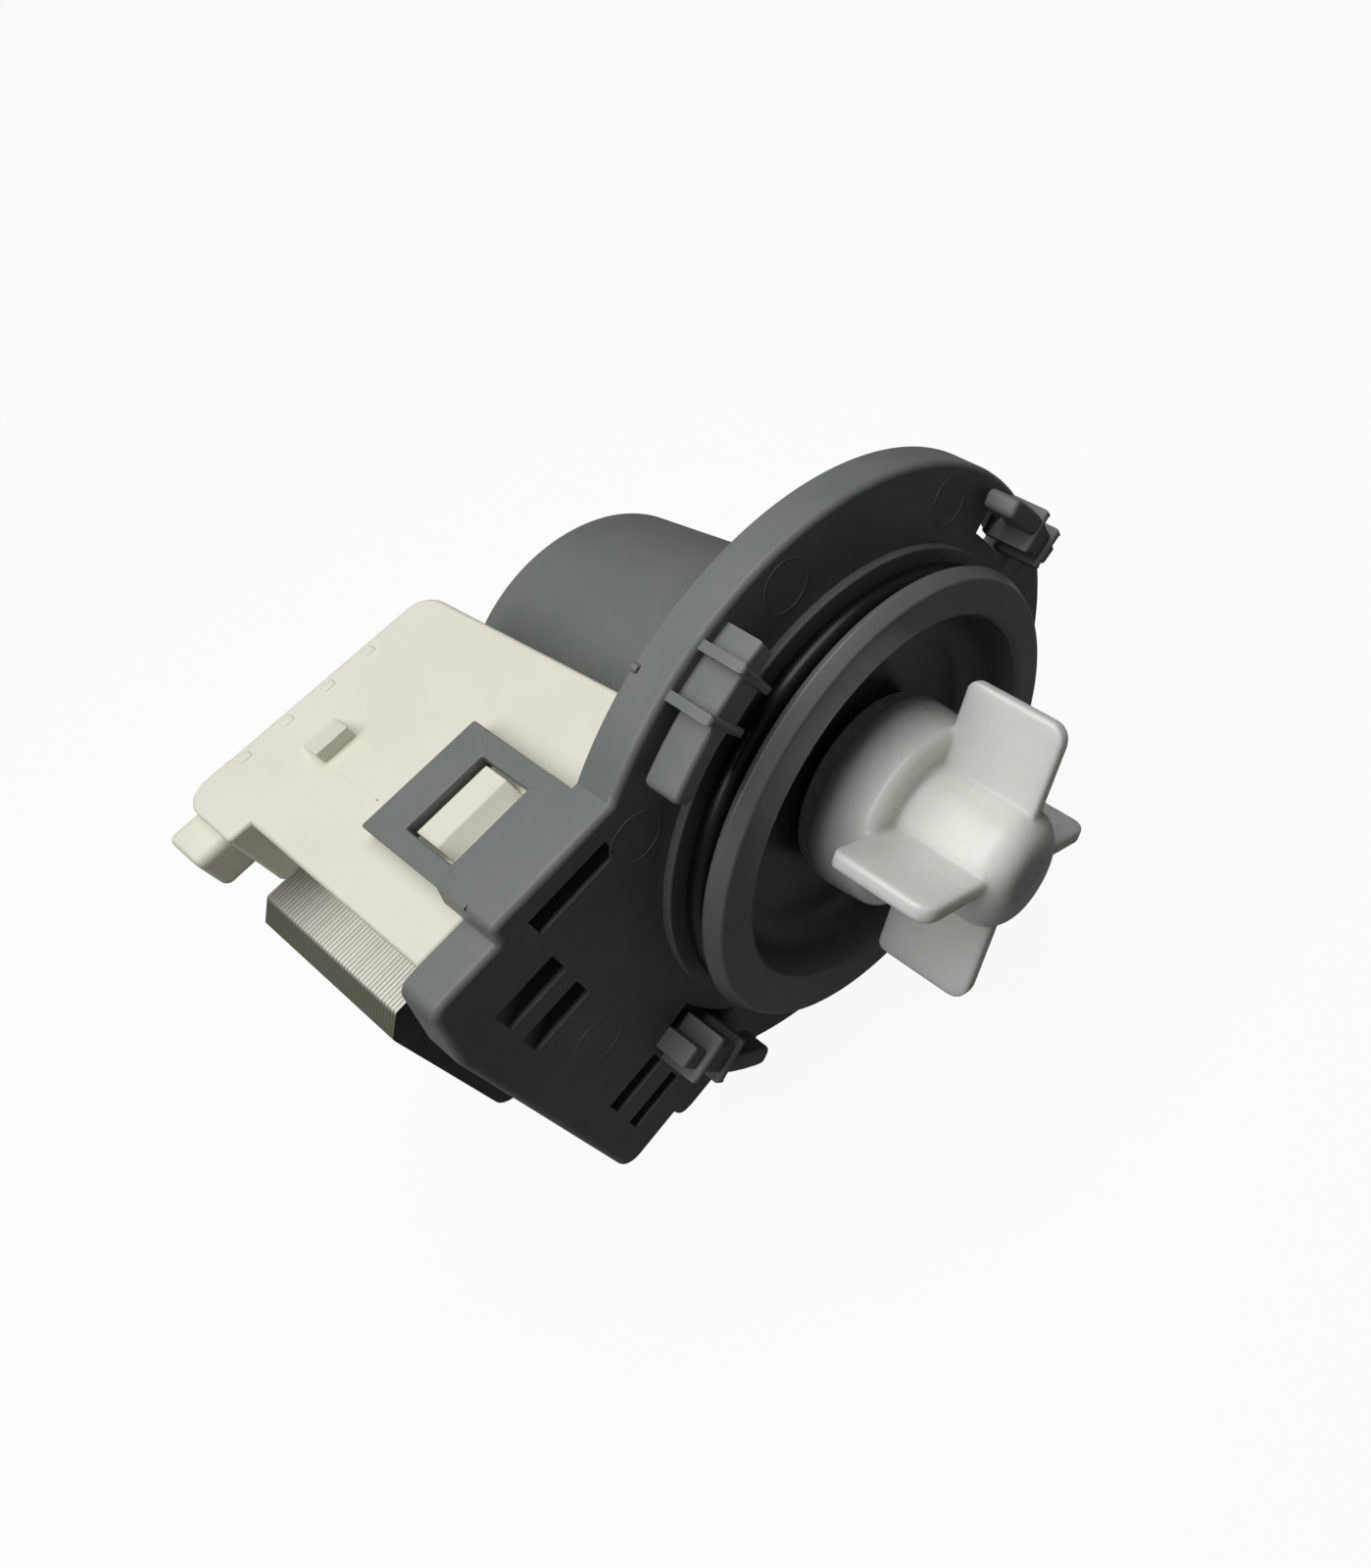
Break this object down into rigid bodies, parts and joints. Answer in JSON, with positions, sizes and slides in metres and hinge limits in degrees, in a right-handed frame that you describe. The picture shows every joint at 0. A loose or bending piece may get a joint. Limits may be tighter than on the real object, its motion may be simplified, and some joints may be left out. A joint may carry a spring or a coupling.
{
  "type": "dishwasher drain pump",
  "caption": "Synchronous drain pump with bayonet flange, sealed rotor can, laminated stator beside it and a vaned impeller.",
  "frame": {"origin": "on the rotor axis, at the front face of the flange", "axes": "-Y along the rotor axis towards the impeller, +Z towards the snap clip side, +X away from the coils"},
  "size_m": [0.0955, 0.072, 0.082],
  "materials": {
    "housing_plastic": "grey glass-filled polypropylene, as moulded",
    "collar_plastic": "grey polypropylene, smoother, semi-gloss",
    "impeller_plastic": "natural acetal, slightly translucent",
    "cover_plastic": "warm white polyester, as moulded",
    "bobbin_plastic": "natural polyamide",
    "hub_plastic": "black polyamide",
    "washer_plastic": "natural low friction plastic",
    "seal_rubber": "black nitrile rubber",
    "core_steel": "punched electrical sheet, edges bare",
    "shaft_steel": "ground stainless steel",
    "magnet_ferrite": "sintered ferrite",
    "bearing_bronze": "sintered bronze",
    "winding_copper": "enamelled copper wire",
    "terminal_brass": "tinned brass"
  },
  "bodies": {
    "housing": {"pump_body": "housing_plastic", "sump_seal": "seal_rubber", "can_seal": "seal_rubber", "front_collar": "collar_plastic", "shaft_seal": "seal_rubber", "front_bearing_seat": "seal_rubber", "front_bearing": "bearing_bronze", "rear_bearing_seat": "seal_rubber", "rear_bearing": "bearing_bronze", "pole_core": "core_steel", "yoke_core": "core_steel", "bobbin_upper": "bobbin_plastic", "winding_upper": "winding_copper", "bobbin_lower": "bobbin_plastic", "winding_lower": "winding_copper", "coil_cover": "cover_plastic", "terminal_left": "terminal_brass", "terminal_right": "terminal_brass"},
    "rotor": {"rotor_shaft": "shaft_steel", "rotor_magnet": "magnet_ferrite", "rotor_hub": "hub_plastic", "front_thrust_washer": "washer_plastic", "rear_thrust_washer": "washer_plastic", "drive_dog": "hub_plastic", "dog_damper": "seal_rubber"},
    "impeller_wheel": {"impeller": "impeller_plastic", "impeller_cap": "impeller_plastic"}
  },
  "joints": [
    {"name": "rotor_turn", "type": "hinge", "parent": "housing", "child": "rotor", "pos_m": [0, 0, 0], "axis": [0, -1, 0], "continuous": true},
    {"name": "impeller_play", "type": "hinge", "parent": "rotor", "child": "impeller_wheel", "pos_m": [0, 0, 0], "axis": [0, -1, 0], "range_deg": [-118, 118]}
  ]
}
